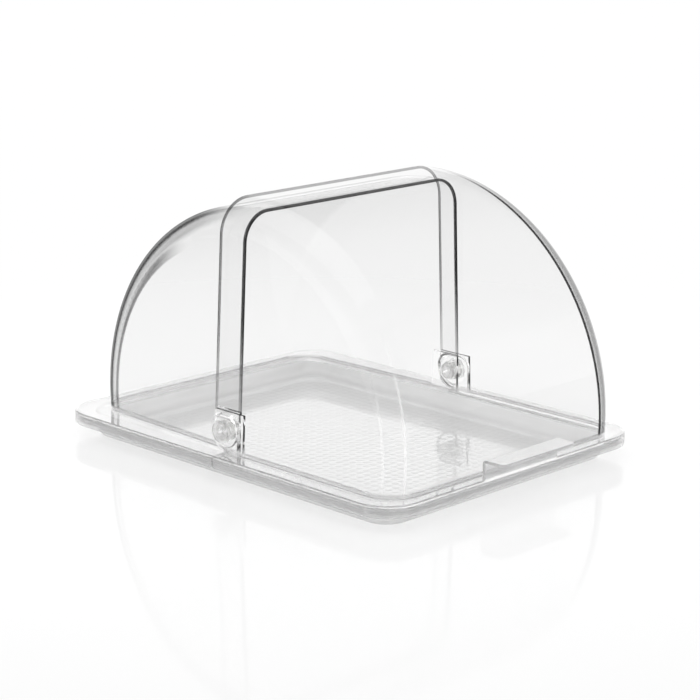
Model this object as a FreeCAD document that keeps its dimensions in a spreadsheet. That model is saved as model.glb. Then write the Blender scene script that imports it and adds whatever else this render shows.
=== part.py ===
import FreeCAD, Part
import os
import re

import Sketcher

# Countertop bread display bin: a shallow clear tray under two quarter barrels.
# The rear cover stands still. The front cover rolls back over it about two side pivots.
# X runs along the pivots, the finger lip is at -Y, Z is up.
# The origin is the middle of the tray's underside, below the pivots. All lengths are in mm.

doc = FreeCAD.newDocument("bread_display_bin")
sheet = doc.addObject("Spreadsheet::Sheet", "Sizes")

SIZES = (
    # Flange that both covers share, one rounded rectangle parted below the pivots
    ("flange_width", 310.0),
    ("flange_length", 395.0),
    ("flange_corner", 32.0),
    ("flange_top", 22.5),
    ("flange_thickness", 2.5),
    ("flange_edge_round", 1.2),
    ("skirt_bottom", 12.2),
    ("skirt_thickness", 2.3),
    ("seam_half_gap", 0.25),
    ("seam_corner", 2.5),
    # Front cover, the outer barrel
    ("wall", 2.3),
    ("foot_inset", 10.0),
    ("side_inset", 15.7),
    ("side_lean_share", 0.0455),
    ("corner_radius", 30.0),
    ("rear_reach", 14.2),
    ("foot_round", 1.0),
    # Raised pads that carry the pivots, each hollow inside
    ("pad_half_width", 16.0),
    ("pad_rise", 12.6),
    ("pad_corner", 10.0),
    ("pad_proud", 2.4),
    ("pad_flare", 1.6),
    ("pad_gap", 0.7),
    ("pad_edge_round", 0.8),
    # Rear cover, the inner barrel
    ("barrel_gap", 6.2),
    ("side_gap", 2.5),
    ("rear_corner_radius", 26.0),
    ("disc_radius", 14.0),
    ("front_reach", 9.9),
    # Finger lip
    ("lip_length", 90.0),
    ("lip_rise", 16.5),
    ("lip_reach", 20.0),
    ("lip_thickness", 2.5),
    ("lip_bend", 3.5),
    ("lip_corner", 6.0),
    ("lip_edge_round", 0.8),
    # Tray
    ("seat_gap", 0.3),
    ("rim_clearance", 0.9),
    ("rim_thickness", 2.5),
    ("rim_edge_thickness", 2.0),
    ("rim_edge_depth", 5.2),
    ("tray_inset", 19.2),
    ("tray_lean_angle", 15.0),
    ("tray_wall", 2.5),
    ("tray_floor", 3.0),
    ("tray_corner", 20.0),
    ("tray_foot_round", 2.5),
    ("tray_floor_round", 8.0),
    ("tray_mouth_round", 1.2),
    # Pivot pins, spacers and retainers
    ("pin_radius", 5.0),
    ("pin_running_fit", 0.05),
    ("pin_head_radius", 9.6),
    ("pin_head_depth", 4.6),
    ("pin_head_round", 1.0),
    ("pin_head_gap", 0.1),
    ("pin_dish_radius", 6.5),
    ("pin_dish_depth", 1.4),
    ("pin_eye_radius", 2.3),
    ("pin_eye_depth", 1.0),
    ("pin_groove_radius", 4.2),
    ("pin_end_depth", 1.8),
    ("pin_end_round", 0.8),
    ("spacer_radius", 8.5),
    ("spacer_gap", 0.05),
    ("retainer_radius", 7.5),
    ("retainer_depth", 2.0),
    ("retainer_gap", 0.05),
    ("retainer_round", 0.6),
    # Extra length of every cutting shape
    ("overrun", 5.0),
)

for row, (alias, size) in enumerate(SIZES, start=1):
    sheet.set(f"A{row}", str(size))
    sheet.setAlias(f"A{row}", alias)
doc.recompute()

ALIASES = {alias for alias, size in SIZES}

# Sizes worked out from the sheet, each a sum in the sheet's own words
HALF_WIDTH = "(flange_width / 2)"
HALF_LENGTH = "(flange_length / 2)"
FLANGE_UNDER = "(flange_top - flange_thickness)"
CUT_FLOOR = "(skirt_bottom - overrun)"
PAD_BASE_RADIUS = "(pad_half_width + pad_flare)"
PIVOT_RISE = f"({PAD_BASE_RADIUS} + pad_gap)"
PIVOT_HEIGHT = f"(flange_top + {PIVOT_RISE})"
BARREL_RADIUS = f"sqrt(({HALF_LENGTH} - foot_inset) ^ 2 + {PIVOT_RISE} ^ 2)"
SIDE_OUTER = f"({HALF_WIDTH} - side_inset)"
SIDE_INNER = f"({SIDE_OUTER} - wall)"
FRONT_INNER_RADIUS = f"({BARREL_RADIUS} - wall)"
REAR_RADIUS = f"({FRONT_INNER_RADIUS} - barrel_gap)"
REAR_INNER_RADIUS = f"({REAR_RADIUS} - wall)"
INNER_CORNER = "(corner_radius - wall)"
REAR_INNER_CORNER = "(rear_corner_radius - wall)"
REAR_SIDE = f"({SIDE_INNER} - side_lean_share * {PIVOT_RISE} - side_gap)"
PAD_FACE = f"({SIDE_OUTER} + pad_proud)"
PAD_LEAN = f"(side_lean_share * ({PIVOT_RISE} + pad_rise + pad_flare))"
PAD_ROOT = f"(({SIDE_INNER} + {SIDE_OUTER} - {PAD_LEAN}) / 2)"
PAD_FLOOR = f"({PAD_FACE} - wall)"
PAD_MOUTH = f"({SIDE_INNER} - {PAD_LEAN} - side_gap / 2)"
REAR_DISC = f"({REAR_SIDE} - side_lean_share * disc_radius)"
REAR_DISC_INNER = f"({REAR_DISC} - wall)"
RIM_TOP = f"({FLANGE_UNDER} - seat_gap)"
RIM_UNDER = f"({RIM_TOP} - rim_thickness)"
RIM_INSET = "(skirt_thickness + rim_clearance)"


def bound(text):
    """Turn a sum in the sheet's words into an expression that reads the sheet."""
    return re.sub(r"[a-z_]+", lambda word: f"Sizes.{word[0]}" if word[0] in ALIASES else word[0], text)


def number(text):
    """Value of a sum in the sheet's words."""
    return float(sheet.evalExpression(bound(text)))


def bind(item, field, text):
    """Tie one property of an object to the sheet."""
    item.setExpression(field, bound(text))


def new_body(name):
    """Empty body for one sub-part or one cutting shape."""
    return doc.addObject("PartDesign::Body", name)


def new_sketch(body, name, role, offset="0"):
    """Sketch on one of the body's origin planes, moved along the plane's normal by offset."""
    sketch = body.newObject("Sketcher::SketchObject", name)
    plane = next(plane for plane in body.Origin.OriginFeatures if plane.Role == role)
    sketch.AttachmentSupport = [(plane, "")]
    sketch.MapMode = "FlatFace"
    bind(sketch, ".AttachmentOffset.Base.z", offset)
    return sketch


def add_size(sketch, constraint, text):
    """Add a dimension that follows the sheet."""
    index = sketch.addConstraint(constraint)
    bind(sketch, f"Constraints[{index}]", text)


def fix_point(sketch, geometry, end, across, along):
    """Hold a point of the sketch at two sums in the sheet's words."""
    for kind, axis, text in (("DistanceX", -2, across), ("DistanceY", -1, along)):
        size = number(text)
        if size > 0:
            add_size(sketch, Sketcher.Constraint(kind, -1, 1, geometry, end, size), text)
        elif size < 0:
            add_size(sketch, Sketcher.Constraint(kind, geometry, end, -1, 1, -size), f"-({text})")
        else:
            sketch.addConstraint(Sketcher.Constraint("PointOnObject", geometry, end, axis))


def add_side(sketch, start, finish, step):
    """Add the line or the shorter arc that one step of an outline describes."""
    if len(step) == 2:
        return sketch.addGeometry(Part.LineSegment(start, finish), False)
    centre = FreeCAD.Vector(number(step[2]), number(step[3]), 0)
    outwards = ((start + finish) / 2 - centre).normalize()
    middle = centre + outwards * number(step[4])
    geometry = sketch.addGeometry(Part.Arc(start, middle, finish), False)
    add_size(sketch, Sketcher.Constraint("Radius", geometry, number(step[4])), step[4])
    return geometry


def add_outline(sketch, steps):
    """Draw one closed outline.

    A step is (across, along), a point reached by a straight line, or
    (across, along, centre across, centre along, radius), a point reached by an arc.
    """
    places = [FreeCAD.Vector(number(step[0]), number(step[1]), 0) for step in steps]
    sides = []
    for index, step in enumerate(steps):
        start = places[index - 1]
        geometry = add_side(sketch, start, places[index], step)
        starts_first = (sketch.getPoint(geometry, 1).distanceToPoint(start)
                        < sketch.getPoint(geometry, 2).distanceToPoint(start))
        sides.append((geometry, 1, 2) if starts_first else (geometry, 2, 1))
    for index, (geometry, first, last) in enumerate(sides):
        following, entry, unused = sides[(index + 1) % len(sides)]
        sketch.addConstraint(Sketcher.Constraint("Coincident", geometry, last, following, entry))
        fix_point(sketch, geometry, last, *steps[index][:2])


def add_circle(sketch, across, along, radius):
    """Draw one circle about a point."""
    centre = FreeCAD.Vector(number(across), number(along), 0)
    circle = Part.Circle(centre, FreeCAD.Vector(0, 0, 1), number(radius))
    geometry = sketch.addGeometry(circle, False)
    add_size(sketch, Sketcher.Constraint("Radius", geometry, number(radius)), radius)
    fix_point(sketch, geometry, 3, across, along)


def pad(body, sketch, name, length, both_ways=False, lean=None):
    """Raise a sketch along its normal, or half each way, with walls that may lean outwards."""
    feature = body.newObject("PartDesign::Pad", name)
    feature.Profile = sketch
    feature.Midplane = both_ways
    bind(feature, "Length", length)
    if lean:
        bind(feature, "TaperAngle", lean)
    doc.recompute()
    return feature


def cut(body, sketch, name, length=None, lean=None):
    """Cut a sketch out along its normal, or right through both ways if no length is given."""
    before = body.Shape.Volume
    feature = body.newObject("PartDesign::Pocket", name)
    feature.Profile = sketch
    if length:
        feature.Reversed = True
        bind(feature, "Length", length)
    else:
        feature.Type = "ThroughAll"
        feature.Midplane = True
    if lean:
        bind(feature, "TaperAngle", lean)
    doc.recompute()
    assert body.Shape.Volume < before, f"{name} cuts nothing"
    return feature


def spin(body, sketch, name):
    """Turn a sketch once round its own horizontal axis."""
    feature = body.newObject("PartDesign::Revolution", name)
    feature.Profile = sketch
    feature.ReferenceAxis = (sketch, ["H_Axis"])
    feature.Angle = 360
    doc.recompute()
    return feature


def round_edges(body, name, radius, wanted):
    """Round those edges of the body's last feature for which wanted(edge) is true."""
    last = body.Tip
    names = [f"Edge{index}" for index, edge in enumerate(last.Shape.Edges, start=1) if wanted(edge)]
    assert names, f"{name} finds no edge"
    feature = body.newObject("PartDesign::Fillet", name)
    feature.Base = (last, names)
    bind(feature, "Radius", radius)
    doc.recompute()
    assert feature.Shape.isValid() and "Invalid" not in feature.State, f"{name} fails"
    return feature


def near(value, text):
    """True where a coordinate is the one that a sum gives."""
    return abs(value - number(text)) < number("seam_half_gap") / 2


def level_at(edge, text):
    """True for an edge that lies flat at one height."""
    return near(edge.BoundBox.ZMin, text) and near(edge.BoundBox.ZMax, text)


def is_arc(edge, radius):
    """True for an arc or circle of one radius."""
    return hasattr(edge.Curve, "Radius") and near(edge.Curve.Radius, radius)


def rounded_rectangle(half_width, half_length, corner):
    """Outline of a plate with four equal rounded corners."""
    wide = f"({half_width} - {corner})"
    long = f"({half_length} - {corner})"
    return [
        (wide, f"-{half_length}"),
        (half_width, f"-{long}", wide, f"-{long}", corner),
        (half_width, long),
        (wide, half_length, wide, long, corner),
        (f"-{wide}", half_length),
        (f"-{half_width}", long, f"-{wide}", long, corner),
        (f"-{half_width}", f"-{long}"),
        (f"-{wide}", f"-{half_length}", f"-{wide}", f"-{long}", corner),
    ]


def half_plate(end, inset, start):
    """Outline of half a flange, from start beside the pivots to its front (-1) or rear (1) end."""
    half_width = f"({HALF_WIDTH} - {inset})"
    half_length = f"({end} * ({HALF_LENGTH} - {inset}))"
    corner = f"(flange_corner - {inset})"
    wide = f"({half_width} - {corner})"
    long = f"({end} * ({HALF_LENGTH} - {inset} - {corner}))"
    return [
        (f"-{half_width}", f"{end} * {start}"),
        (half_width, f"{end} * {start}"),
        (half_width, long),
        (wide, half_length, wide, long, corner),
        (f"-{wide}", half_length),
        (f"-{half_width}", long, f"-{wide}", long, corner),
    ]


def add_flange(body, end):
    """Flange and turned-down skirt at the front (-1) or rear (1) end of the bin."""
    plate = new_sketch(body, f"{body.Name}_flange_outline", "XY_Plane", "skirt_bottom")
    add_outline(plate, half_plate(end, "0", "seam_half_gap"))
    pad(body, plate, f"{body.Name}_flange", "flange_top - skirt_bottom")
    hollow = new_sketch(body, f"{body.Name}_hollow_outline", "XY_Plane", "skirt_bottom")
    add_outline(hollow, half_plate(end, "skirt_thickness", "(0 - overrun)"))
    cut(body, hollow, f"{body.Name}_hollow", f"{FLANGE_UNDER} - skirt_bottom")


def soften_flange(body, end):
    """Round the lower skirt corners at the seam and the flange's upper outer edge."""
    def seam_corner(edge):
        middle = edge.CenterOfMass
        outside = abs(middle.x) > number(f"{HALF_WIDTH} - skirt_thickness")
        return outside and near(middle.y, f"{end} * seam_half_gap") and level_at(edge, "skirt_bottom")

    def upper_edge(edge):
        middle = edge.CenterOfMass
        outside = (near(abs(middle.x), HALF_WIDTH) or near(abs(middle.y), HALF_LENGTH)
                   or is_arc(edge, "flange_corner"))
        return outside and level_at(edge, "flange_top")

    round_edges(body, f"{body.Name}_seam_corners", "seam_corner", seam_corner)
    round_edges(body, f"{body.Name}_upper_edge", "flange_edge_round", upper_edge)


def round_foot(body, end):
    """Small hollow round where the barrel stands on its flange at the front (-1) or rear (1)."""
    def foot(edge):
        middle = edge.CenterOfMass
        inside = (abs(middle.x) < number(f"{SIDE_OUTER} + wall")
                  and abs(middle.y) < number(f"{BARREL_RADIUS} + wall"))
        return inside and end * middle.y > number("rear_reach") and level_at(edge, "flange_top")

    round_edges(body, f"{body.Name}_foot_round", "foot_round", foot)


def make_barrel(name, outline, side, corner):
    """Quarter barrel for the front cover, with leaning flat sides and two round long corners."""
    body = new_body(name)
    profile = new_sketch(body, f"{name}_profile", "YZ_Plane")
    add_outline(profile, outline)
    pad(body, profile, f"{name}_block", f"2 * ({side} + overrun)", both_ways=True)
    lean = new_sketch(body, f"{name}_lean_outline", "XZ_Plane")
    top = f"({PIVOT_HEIGHT} + {BARREL_RADIUS} + overrun)"
    low = f"({side} + side_lean_share * (flange_top - {CUT_FLOOR}))"
    high = f"({side} - side_lean_share * ({top} - flange_top))"
    beyond = f"({side} + 2 * overrun)"
    for hand in (1, -1):
        add_outline(lean, [
            (f"{hand} * {low}", CUT_FLOOR),
            (f"{hand} * {beyond}", CUT_FLOOR),
            (f"{hand} * {beyond}", top),
            (f"{hand} * {high}", top),
        ])
    cut(body, lean, f"{name}_lean")
    round_edges(body, f"{name}_corners", corner, lambda edge: (
        edge.Length > number(BARREL_RADIUS) and not isinstance(edge.Curve, Part.Line)))
    return body


def front_outside():
    """Outer skin of the front cover from the flange's underside up."""
    foot = f"sqrt({BARREL_RADIUS} ^ 2 - ({PIVOT_HEIGHT} - {FLANGE_UNDER}) ^ 2)"
    crown = f"({PIVOT_HEIGHT} + sqrt({BARREL_RADIUS} ^ 2 - rear_reach ^ 2))"
    heel = f"({PIVOT_HEIGHT} - sqrt({PAD_BASE_RADIUS} ^ 2 - rear_reach ^ 2))"
    toe = f"({PIVOT_HEIGHT} - sqrt({PAD_BASE_RADIUS} ^ 2 - seam_half_gap ^ 2))"
    return make_barrel("front_cover", [
        (f"-{foot}", FLANGE_UNDER),
        ("rear_reach", crown, "0", PIVOT_HEIGHT, BARREL_RADIUS),
        ("rear_reach", heel),
        ("-seam_half_gap", toe, "0", PIVOT_HEIGHT, PAD_BASE_RADIUS),
        ("-seam_half_gap", FLANGE_UNDER),
    ], SIDE_OUTER, "corner_radius")


def front_inside():
    """Room inside the front cover, run on through its flange and its open rear."""
    reach = "(rear_reach + overrun)"
    foot = f"sqrt({FRONT_INNER_RADIUS} ^ 2 - ({PIVOT_HEIGHT} - {CUT_FLOOR}) ^ 2)"
    crown = f"({PIVOT_HEIGHT} + sqrt({FRONT_INNER_RADIUS} ^ 2 - {reach} ^ 2))"
    return make_barrel("front_inside", [
        (f"-{foot}", CUT_FLOOR),
        (reach, crown, "0", PIVOT_HEIGHT, FRONT_INNER_RADIUS),
        (reach, CUT_FLOOR),
    ], SIDE_INNER, INNER_CORNER)


def subtract(body, tool, name):
    """Cut a tool body out of a body."""
    before = body.Shape.Volume
    feature = body.newObject("PartDesign::Boolean", name)
    feature.Type = "Cut"
    feature.setObjects([tool])
    doc.recompute()
    assert body.Shape.Volume < before, f"{name} cuts nothing"


def add_lip(body):
    """Finger lip: a short wall on the flange's front edge that bends forwards."""
    profile = new_sketch(body, "lip_profile", "YZ_Plane")
    face = f"(0 - {HALF_LENGTH})"
    top = "(flange_top + lip_rise)"
    bend_y = f"({face} + lip_thickness - lip_bend)"
    bend_z = f"({top} - lip_bend)"
    tip = f"({face} - lip_reach)"
    add_outline(profile, [
        (f"{face} + lip_thickness", FLANGE_UNDER),
        (f"{face} + lip_thickness", bend_z),
        (bend_y, top, bend_y, bend_z, "lip_bend"),
        (tip, top),
        (tip, f"{top} - lip_thickness"),
        (bend_y, f"{top} - lip_thickness"),
        (face, bend_z, bend_y, bend_z, "(lip_bend - lip_thickness)"),
        (face, FLANGE_UNDER),
    ])
    pad(body, profile, "lip", "lip_length", both_ways=True)

    def plan_corner(edge):
        return near(edge.CenterOfMass.y, tip) and edge.BoundBox.ZLength > number("lip_thickness") / 2

    def lip_edge(edge):
        middle = edge.CenterOfMass
        outside = middle.y < number(f"{tip} + lip_corner")
        return outside and (level_at(edge, top) or level_at(edge, f"{top} - lip_thickness"))

    round_edges(body, "lip_corners", "lip_corner", plan_corner)
    round_edges(body, "lip_edges", "lip_edge_round", lip_edge)


def pad_outline(flare):
    """Raised pad seen from the side: an upside-down U that is round about the pivot at its lower rear."""
    half_width = f"(pad_half_width + {flare})"
    top = f"({PIVOT_HEIGHT} + pad_rise + {flare})"
    corner = f"(pad_corner + {flare})"
    shoulder = f"({top} - {corner})"
    flat = f"({half_width} - {corner})"
    toe = f"({PIVOT_HEIGHT} - sqrt({half_width} ^ 2 - seam_half_gap ^ 2))"
    low = f"({FLANGE_UNDER} + seat_gap)"
    return [
        (f"-{half_width}", low),
        (f"-{half_width}", shoulder),
        (f"-{flat}", top, f"-{flat}", shoulder, corner),
        (flat, top),
        (half_width, shoulder, flat, shoulder, corner),
        (half_width, PIVOT_HEIGHT),
        ("-seam_half_gap", toe, "0", PIVOT_HEIGHT, half_width),
        ("-seam_half_gap", low),
    ]


def recess_outline(flare):
    """Hollow inside a pad, one wall smaller all round and closed by a half circle below the pivot."""
    half_width = f"(pad_half_width - wall + {flare})"
    top = f"({PIVOT_HEIGHT} + pad_rise - wall + {flare})"
    corner = f"(pad_corner - wall + {flare})"
    shoulder = f"({top} - {corner})"
    flat = f"({half_width} - {corner})"
    return [
        (f"-{half_width}", shoulder),
        (f"-{flat}", top, f"-{flat}", shoulder, corner),
        (flat, top),
        (half_width, shoulder, flat, shoulder, corner),
        (half_width, PIVOT_HEIGHT),
        ("0", f"{PIVOT_HEIGHT} - {half_width}", "0", PIVOT_HEIGHT, half_width),
        (f"-{half_width}", PIVOT_HEIGHT, "0", PIVOT_HEIGHT, half_width),
    ]


def loft(body, kind, name, first, first_place, last, last_place):
    """Straight loft between two outlines on planes across the pivot axis."""
    ends = []
    for label, outline, place in (("start", first, first_place), ("end", last, last_place)):
        sketch = new_sketch(body, f"{name}_{label}", "YZ_Plane", place)
        add_outline(sketch, outline)
        ends.append(sketch)
    doc.recompute()
    feature = body.newObject(f"PartDesign::{kind}Loft", name)
    feature.Profile = ends[0]
    feature.Sections = [ends[1]]
    feature.Ruled = True
    before = body.Shape.Volume
    doc.recompute()
    assert (body.Shape.Volume > before) == (kind == "Additive"), f"{name} does nothing"
    return feature


def add_pivot_pads(body):
    """Pads on both sides, hollow inside, and the bores for the pins."""
    for side, hand in (("left", -1), ("right", 1)):
        loft(body, "Additive", f"{side}_pad", pad_outline("0"), f"{hand} * {PAD_FACE}",
             pad_outline("pad_flare"), f"{hand} * {PAD_ROOT}")
    round_edges(body, "pad_edges", "pad_edge_round", lambda edge: (
        near(abs(edge.BoundBox.XMin), PAD_FACE) and near(abs(edge.BoundBox.XMax), PAD_FACE)
        and not level_at(edge, "flange_top") and not near(edge.CenterOfMass.y, "0 - seam_half_gap")))
    for side, hand in (("left", -1), ("right", 1)):
        loft(body, "Subtractive", f"{side}_recess", recess_outline("0"), f"{hand} * {PAD_FLOOR}",
             recess_outline("pad_flare"), f"{hand} * {PAD_MOUTH}")
    add_bore(body, "pin_radius + pin_running_fit")


def add_bore(body, radius):
    """Round hole through both sides on the pivot axis."""
    circle = new_sketch(body, f"{body.Name}_bore_outline", "YZ_Plane")
    add_circle(circle, "0", PIVOT_HEIGHT, radius)
    cut(body, circle, f"{body.Name}_bore")


def make_front_cover():
    """The outer quarter barrel with its flange, finger lip and pivot pads."""
    body = front_outside()
    add_flange(body, -1)
    soften_flange(body, -1)
    add_lip(body)
    subtract(body, front_inside(), "front_room")
    round_foot(body, -1)
    add_pivot_pads(body)
    return body


def make_drum(name, radius, disc, side, corner):
    """Round drum about the pivot axis with cone sides that end in a flat disc."""
    body = new_body(name)
    half = new_sketch(body, f"{name}_section", "XZ_Plane")
    bind(half, ".AttachmentOffset.Base.y", PIVOT_HEIGHT)
    add_outline(half, [
        (f"-{disc}", "0"),
        (f"-{disc}", "disc_radius"),
        (f"-{side}", radius),
        (side, radius),
        (disc, "disc_radius"),
        (disc, "0"),
    ])
    spin(body, half, f"{name}_drum")
    round_edges(body, f"{name}_corners", corner, lambda edge: is_arc(edge, radius))
    return body


def make_rear_cover():
    """The inner quarter barrel with its flange."""
    outer_side = f"({REAR_SIDE} - side_lean_share * {REAR_RADIUS})"
    inner_side = f"({REAR_SIDE} - wall - side_lean_share * {REAR_INNER_RADIUS})"
    body = make_drum("rear_cover", REAR_RADIUS, REAR_DISC, outer_side, "rear_corner_radius")
    away = new_sketch(body, "rear_cover_cut_outline", "YZ_Plane")
    far = f"({REAR_RADIUS} + overrun)"
    add_outline(away, [
        ("-front_reach", f"{PIVOT_HEIGHT} + {far}"),
        ("-front_reach", "flange_top"),
        ("seam_half_gap", "flange_top"),
        ("seam_half_gap", FLANGE_UNDER),
        (far, FLANGE_UNDER),
        (far, f"{PIVOT_HEIGHT} - {far}"),
        (f"-{far}", f"{PIVOT_HEIGHT} - {far}"),
        (f"-{far}", f"{PIVOT_HEIGHT} + {far}"),
    ])
    cut(body, away, "rear_cover_cut")
    add_flange(body, 1)
    soften_flange(body, 1)
    inside = make_drum("rear_inside", REAR_INNER_RADIUS, REAR_DISC_INNER, inner_side,
                       REAR_INNER_CORNER)
    subtract(body, inside, "rear_room")
    round_foot(body, 1)
    add_bore(body, "pin_radius + pin_running_fit")
    return body


def make_tray():
    """Shallow tray with leaning walls, a flat rim and a turned-down edge."""
    body = new_body("tray")
    rim_half_width = f"({HALF_WIDTH} - {RIM_INSET})"
    rim_half_length = f"({HALF_LENGTH} - {RIM_INSET})"
    rim_corner = f"(flange_corner - {RIM_INSET})"
    edge_foot = f"({RIM_TOP} - rim_edge_depth)"
    rim = new_sketch(body, "rim_outline", "XY_Plane", edge_foot)
    add_outline(rim, rounded_rectangle(rim_half_width, rim_half_length, rim_corner))
    pad(body, rim, "rim", "rim_edge_depth")
    under = new_sketch(body, "rim_under_outline", "XY_Plane", edge_foot)
    add_outline(under, rounded_rectangle(f"({rim_half_width} - rim_edge_thickness)",
                                         f"({rim_half_length} - rim_edge_thickness)",
                                         f"({rim_corner} - rim_edge_thickness)"))
    cut(body, under, "rim_under", f"{RIM_UNDER} - {edge_foot}")

    half_width = f"({HALF_WIDTH} - tray_inset)"
    half_length = f"({HALF_LENGTH} - tray_inset)"
    bowl = new_sketch(body, "bowl_outline", "XY_Plane")
    add_outline(bowl, rounded_rectangle(half_width, half_length, "tray_corner"))
    pad(body, bowl, "bowl", f"{RIM_UNDER} + rim_thickness / 2", lean="tray_lean_angle")
    well = new_sketch(body, "well_outline", "XY_Plane", "tray_floor")
    inset = "(tray_wall - tray_floor * tan(tray_lean_angle))"
    add_outline(well, rounded_rectangle(f"({half_width} - {inset})", f"({half_length} - {inset})",
                                        f"(tray_corner - {inset})"))
    cut(body, well, "well", f"{RIM_TOP} - tray_floor + overrun", lean="tray_lean_angle")

    def outer_rim(edge):
        middle = edge.CenterOfMass
        return (near(abs(middle.x), rim_half_width) or near(abs(middle.y), rim_half_length)
                or is_arc(edge, rim_corner))

    round_edges(body, "floor_round", "tray_floor_round", lambda edge: level_at(edge, "tray_floor"))
    round_edges(body, "foot_round", "tray_foot_round", lambda edge: level_at(edge, "0"))
    round_edges(body, "rim_round", "tray_mouth_round", lambda edge: level_at(edge, RIM_TOP))
    return body


def make_turned(name, hand, outline):
    """Part of a pivot: a section beside the axis, turned once, on the right (1) or left (-1)."""
    body = new_body(name)
    section = new_sketch(body, f"{name}_section", "XZ_Plane")
    bind(section, ".AttachmentOffset.Base.y", PIVOT_HEIGHT)
    add_outline(section, [(f"{hand} * {across}", along) for across, along in outline])
    spin(body, section, f"{name}_turned")
    return body


def make_pin(side, hand):
    """Ringed head outside, shank through both walls, groove for the retainer."""
    inner = f"({PAD_FACE} + pin_head_gap)"
    outer = f"({inner} + pin_head_depth)"
    dish = f"({outer} - pin_dish_depth)"
    eye = f"({dish} - pin_eye_depth)"
    groove_outer = f"({REAR_DISC_INNER} - retainer_gap)"
    groove_inner = f"({groove_outer} - retainer_depth)"
    end = f"({groove_inner} - pin_end_depth)"
    name = f"{side}_pivot_pin"
    body = make_turned(name, hand, [
        (end, "0"),
        (end, "pin_radius"),
        (groove_inner, "pin_radius"),
        (groove_inner, "pin_groove_radius"),
        (groove_outer, "pin_groove_radius"),
        (groove_outer, "pin_radius"),
        (inner, "pin_radius"),
        (inner, "pin_head_radius"),
        (outer, "pin_head_radius"),
        (outer, "pin_dish_radius"),
        (dish, "pin_dish_radius"),
        (dish, "pin_eye_radius"),
        (eye, "pin_eye_radius"),
        (eye, "0"),
    ])
    round_edges(body, f"{name}_head_round", "pin_head_round", lambda edge: (
        near(abs(edge.CenterOfMass.x), outer) and is_arc(edge, "pin_head_radius")))
    round_edges(body, f"{name}_end_round", "pin_end_round", lambda edge: (
        near(abs(edge.CenterOfMass.x), end) and is_arc(edge, "pin_radius")))
    return body


def make_spacer(side, hand):
    """Ring that fills the pad's hollow and keeps the two side walls apart."""
    inner = f"({REAR_DISC} + spacer_gap)"
    outer = f"({PAD_FLOOR} - spacer_gap)"
    bore = "(pin_radius + pin_running_fit)"
    return make_turned(f"{side}_pivot_spacer", hand, [
        (inner, bore),
        (inner, "spacer_radius"),
        (outer, "spacer_radius"),
        (outer, bore),
    ])


def make_retainer(side, hand):
    """Push-on ring in the pin's groove, inside the rear cover."""
    outer = f"({REAR_DISC_INNER} - 2 * retainer_gap)"
    inner = f"({REAR_DISC_INNER} - retainer_depth)"
    bore = "(pin_groove_radius + pin_running_fit)"
    name = f"{side}_pivot_retainer"
    body = make_turned(name, hand, [
        (inner, bore),
        (inner, "retainer_radius"),
        (outer, "retainer_radius"),
        (outer, bore),
    ])
    round_edges(body, f"{name}_round", "retainer_round", lambda edge: (
        near(abs(edge.CenterOfMass.x), inner) and is_arc(edge, "retainer_radius")))
    return body


parts = [make_tray(), make_rear_cover(), make_front_cover()]
for side, hand in (("left", -1), ("right", 1)):
    parts += [make_pin(side, hand), make_spacer(side, hand), make_retainer(side, hand)]
doc.recompute()

for item in doc.Objects:
    assert "Invalid" not in item.State and "Error" not in item.State, f"{item.Label} has an error"

os.makedirs("parts", exist_ok=True)
for part in parts:
    assert part.Shape.isValid() and len(part.Shape.Solids) == 1, f"{part.Label} isn't one sound solid"
    part.Shape.exportStep(f"parts/{part.Label}.step")
    box = part.Shape.BoundBox
    print(f"{part.Label}: {box.XLength:.1f} x {box.YLength:.1f} x {box.ZLength:.1f} mm")
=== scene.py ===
"""Countertop bread display bin: clear moulded plastic, dressed and lit for its picture."""

import logging
import math
from dataclasses import dataclass
from enum import Enum

import bmesh
import bpy
from mathutils import Matrix, Vector


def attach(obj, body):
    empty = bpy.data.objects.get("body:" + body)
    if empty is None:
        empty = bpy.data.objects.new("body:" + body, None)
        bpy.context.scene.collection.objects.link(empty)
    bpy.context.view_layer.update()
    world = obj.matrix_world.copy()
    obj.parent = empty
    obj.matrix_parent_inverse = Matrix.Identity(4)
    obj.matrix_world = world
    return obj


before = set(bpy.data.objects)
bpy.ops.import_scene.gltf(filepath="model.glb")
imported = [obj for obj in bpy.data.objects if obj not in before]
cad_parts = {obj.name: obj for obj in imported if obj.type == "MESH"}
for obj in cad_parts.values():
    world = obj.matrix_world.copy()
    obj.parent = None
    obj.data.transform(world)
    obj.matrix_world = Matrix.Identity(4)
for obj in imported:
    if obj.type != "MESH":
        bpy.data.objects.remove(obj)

LOG = logging.getLogger("bread_display_bin")
MM = 0.001

# The sRGB curve: a straight start, then a power.
BYTE_TOP = 255
CURVE_START = 0.04045
CURVE_SLOPE = 12.92
CURVE_OFFSET = 0.055
CURVE_POWER = 2.4

Colour = tuple[float, float, float, float]
Pair = tuple[float, float]
Run = tuple[float, float, float, float]
Feed = bpy.types.Node | bpy.types.NodeSocket | float | Colour

WHITE = (1.0, 1.0, 1.0, 1.0)
EVEN_BLEND = 0.5


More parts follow.
